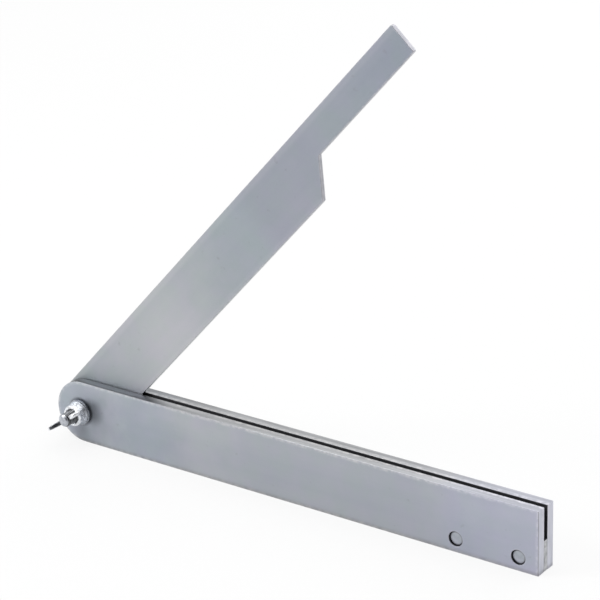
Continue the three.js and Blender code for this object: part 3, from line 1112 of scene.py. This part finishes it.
PLATE_STEEL = brushed_steel(
    "plate_steel_satin",
    faces=(rgb(0.402, 0.438, 0.493), rgb(0.448, 0.478, 0.532)),
    edges=(rgb(0.27, 0.28, 0.297), rgb(0.468, 0.486, 0.512)),
    rough=0.56,
    face_tones=((2, 16, 1.1), (14, 34, -1.4), (40, 68, 1.1), (66, 100, -0.8), (170, 235, 1.4)),
    # The first edge tone keeps the edges darker near the blade: painted shade
    edge_tones=((35, 80, 0.45), (130, 200, -0.1)),
    rim_tones=((-5, -12, 0.45), (1, 8, 0.4)),
    casts=(
        (40, 60, rgb(1.022, 1, 0.978)),
        (140, 235, rgb(1, 0.988, 1.045)),
        (185, 200, rgb(0.98, 0.995, 1.022)),
    ),
    stock=True,
)
BLADE_STEEL = brushed_steel(
    "blade_steel_satin",
    faces=(rgb(0.382, 0.417, 0.459), rgb(0.426, 0.453, 0.495)),
    edges=(rgb(0.31, 0.336, 0.358), rgb(0.405, 0.428, 0.448)),
    rough=0.5,
    face_tones=((20, 50, 0.8), (80, 140, -1.5), (170, 250, -1.0)),
    edge_tones=((260.5, 261.5, 0.35),),
    rim_tones=((10.5, 12.5, 0.9), (-11.5, -13, 0.5)),
    sheens=((66, -12, 34, 6, 1.35),),
    casts=(
        (150, 100, rgb(1.008, 1, 0.975)),
        (138, 155, rgb(0.975, 0.935, 0.965)),
        (185, 205, rgb(1.025, 1.04, 1.022)),
        (215, 235, rgb(1.03, 1.01, 1.035)),
    ),
    edge_shade_share=0.35,
)
RIVET_STEEL = brushed_steel(
    "rivet_steel_satin",
    faces=(rgb(0.37, 0.39, 0.44), rgb(0.52, 0.54, 0.60)),
    # Dark edge colours: painted shade on the rivet's rim in its groove
    edges=(rgb(0.26, 0.27, 0.29), rgb(0.32, 0.33, 0.35)),
    rough=0.4,
    cloud_scale=420,
)
# Darker steel than the plates for the spacer
SPACER_STEEL = brushed_steel(
    "spacer_steel_darker",
    faces=(rgb(0.30, 0.31, 0.33), rgb(0.36, 0.37, 0.39)),
    edges=(rgb(0.27, 0.275, 0.29), rgb(0.375, 0.385, 0.40)),
    rough=0.5,
)
BOLT_STEEL = threaded_steel("bolt_steel_threaded")
NUT_ZINC = bright_zinc(
    "zinc_plate_bright",
    dark=rgb(0.84, 0.87, 0.92),
    light=rgb(0.95, 0.96, 0.98),
    metallic=0.75,
    shaded_rim=True,
)
# Darker copy of the nut's zinc for the washer: painted shade round the nut's foot
WASHER_ZINC_SHADED = bright_zinc(
    "zinc_plate_shaded",
    dark=rgb(0.25, 0.26, 0.29),
    light=rgb(0.44, 0.46, 0.49),
    metallic=1.0,
)


# Pieces in their places
def dress(piece, material, body, node, turn=0, shift=(0, 0, 0)):
    """Places a piece, gives it its material and lets it stand for its solid."""
    mesh = piece.data
    own = mesh.attributes.new("own", "FLOAT_VECTOR", "POINT")
    own.data.foreach_set("vector", [c for vert in mesh.vertices for c in vert.co])
    place = Matrix.Translation(PIVOT + Vector(shift) * MM)
    mesh.transform(place @ Matrix.Rotation(-turn, 4, "Y"))
    mesh.materials.append(material)
    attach(piece, body)
    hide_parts(node)


dress(front_plate(), PLATE_STEEL, "stock", "front_plate")
dress(back_plate(), PLATE_STEEL, "stock", "back_plate")
dress(spacer(), SPACER_STEEL, "stock", "spacer")
for rivet_node, rivet_x in RIVETS.items():
    made_rivet = rivet(rivet_node + "_ground")
    shift = (rivet_x, 0, RIVET_LEVEL)
    dress(made_rivet, RIVET_STEEL, "stock", rivet_node, shift=shift)
dress(blade(), BLADE_STEEL, "blade", "blade", BLADE_OPENING)
dress(pivot_bolt(), BOLT_STEEL, "stock", "pivot_bolt")
dress(washer(), WASHER_ZINC_SHADED, "washer", "washer")
over_washer = (0, -WASHER_THICKNESS, 0)
dress(wing_nut(), NUT_ZINC, "wing_nut", "wing_nut", WING_TURN, over_washer)


# Floor, light and camera, with places and sizes in metres, turns in degrees and power in watts
FLOOR_SIZE = 8
FLOOR_COLOUR = rgb(0.8, 0.8, 0.8)
WHITE = rgb(1, 1, 1)
FLOOR_CLEAR_SHARE = 0.85
FLOOR_GLOW = 1.0
MIRRORED_SHARE = 0.3
WORLD_SEEN = 1.0
WORLD_LIGHT = 0.5
CARD_RADIUS = 1.25
CARD_STEPS = 64
CARD_PLACE = (0.62, -1.03, 0.56)
CARD_TURN = (67.69, 1.69, 35.49)
CARD_COLOUR = rgb(0.04, 0.04, 0.05)
LAMPS = {
    "top_softbox": {
        "place": (0.1, 0.2, 1.3),
        "target": (0, 0.1, 0),
        "size": (2.1, 1.8),
        "power": 13,
    },
    "back_softbox": {
        "place": (0.1, 1.1, 0.5),
        "target": (0, 0, 0.1),
        "size": (1.4, 0.8),
        "power": 4,
    },
    "key_softbox": {
        "place": (-0.9, -0.75, 0.75),
        "target": (-0.05, 0, 0.05),
        "size": (0.55, 0.55),
        "power": 9,
    },
}
CAMERA_PLACE = (0.565097, -0.756248, 0.479222)
CAMERA_TURN = (67.69247, 1.68953, 35.49393)
CAMERA_LENS = 148.676
CAMERA_SENSOR = 36
CAMERA_NEAR = 0.05
CAMERA_FAR = 50


def turn_of(degrees):
    return Euler([math.radians(a) for a in degrees], "XYZ")


def mirrored(tree, path):
    """Share by which the metal's reflections take the plain white."""
    ray = math_node(tree, "MAXIMUM", path["Is Glossy Ray"], path["Is Transmission Ray"])
    return times(tree, ray, MIRRORED_SHARE)


def floor():
    """White floor that keeps a soft shadow and lets the blade show when it swings below it."""
    bm = bmesh.new()
    bmesh.ops.create_grid(bm, x_segments=1, y_segments=1, size=FLOOR_SIZE)
    made = linked("floor", mesh_from(bm, "floor"))
    material, tree = new_tree("floor_white")
    matt = add(tree, "ShaderNodeBsdfDiffuse", {"Color": FLOOR_COLOUR}).outputs["BSDF"]
    glow = add(tree, "ShaderNodeEmission", {"Color": WHITE, "Strength": FLOOR_GLOW}).outputs[0]
    clear = add(tree, "ShaderNodeBsdfTransparent").outputs["BSDF"]
    path = add(tree, "ShaderNodeLightPath").outputs
    lit = add(tree, "ShaderNodeMixShader", {0: mirrored(tree, path), 1: matt, 2: glow})
    seen = times(tree, path["Is Camera Ray"], FLOOR_CLEAR_SHARE)
    mix = add(tree, "ShaderNodeMixShader", {0: seen, 1: lit.outputs["Shader"], 2: clear})
    add(tree, "ShaderNodeOutputMaterial", {"Surface": mix.outputs["Shader"]})
    made.data.materials.append(material)


def world():
    """Soft light from all round, seen as plain white."""
    made = bpy.data.worlds.new("studio")
    made.use_nodes = True
    bpy.context.scene.world = made
    tree = made.node_tree
    tree.nodes.clear()
    white = add(tree, "ShaderNodeBackground", {"Color": WHITE, "Strength": WORLD_SEEN}).outputs[0]
    light = add(tree, "ShaderNodeBackground", {"Color": WHITE, "Strength": WORLD_LIGHT}).outputs[0]
    path = add(tree, "ShaderNodeLightPath").outputs
    seen = math_node(tree, "MAXIMUM", path["Is Camera Ray"], mirrored(tree, path))
    mix = add(tree, "ShaderNodeMixShader", {0: seen, 1: light, 2: white})
    add(tree, "ShaderNodeOutputWorld", {"Surface": mix.outputs["Shader"]})


def card():
    """Dark card behind the camera, which only shows in the metal's reflections."""
    bm = bmesh.new()
    bmesh.ops.create_circle(bm, cap_ends=True, radius=CARD_RADIUS, segments=CARD_STEPS)
    made = linked("card", mesh_from(bm, "card"))
    made.location = CARD_PLACE
    made.rotation_euler = turn_of(CARD_TURN)
    material, tree = new_tree("card_dark")
    matt = add(tree, "ShaderNodeBsdfDiffuse", {"Color": CARD_COLOUR})
    add(tree, "ShaderNodeOutputMaterial", {"Surface": matt.outputs["BSDF"]})
    made.data.materials.append(material)
    made.visible_camera = False
    made.visible_diffuse = False
    made.visible_shadow = False


def lamp(name, place, target, size, power):
    light = bpy.data.lights.new(name, "AREA")
    light.shape = "RECTANGLE"
    light.size, light.size_y = size
    light.energy = power
    made = linked(name, light)
    made.location = place
    made.rotation_euler = (Vector(target) - Vector(place)).to_track_quat("-Z", "Y").to_euler()
    made.visible_camera = False


floor()
world()
card()
for lamp_name, lamp_values in LAMPS.items():
    lamp(lamp_name, **lamp_values)

camera_data = bpy.data.cameras.new("camera")
camera_data.sensor_width = CAMERA_SENSOR
camera_data.lens = CAMERA_LENS
camera_data.clip_start = CAMERA_NEAR
camera_data.clip_end = CAMERA_FAR
camera = linked("camera", camera_data)
camera.location = CAMERA_PLACE
camera.rotation_euler = turn_of(CAMERA_TURN)
bpy.context.scene.camera = camera
bpy.context.scene.view_settings.view_transform = "Standard"
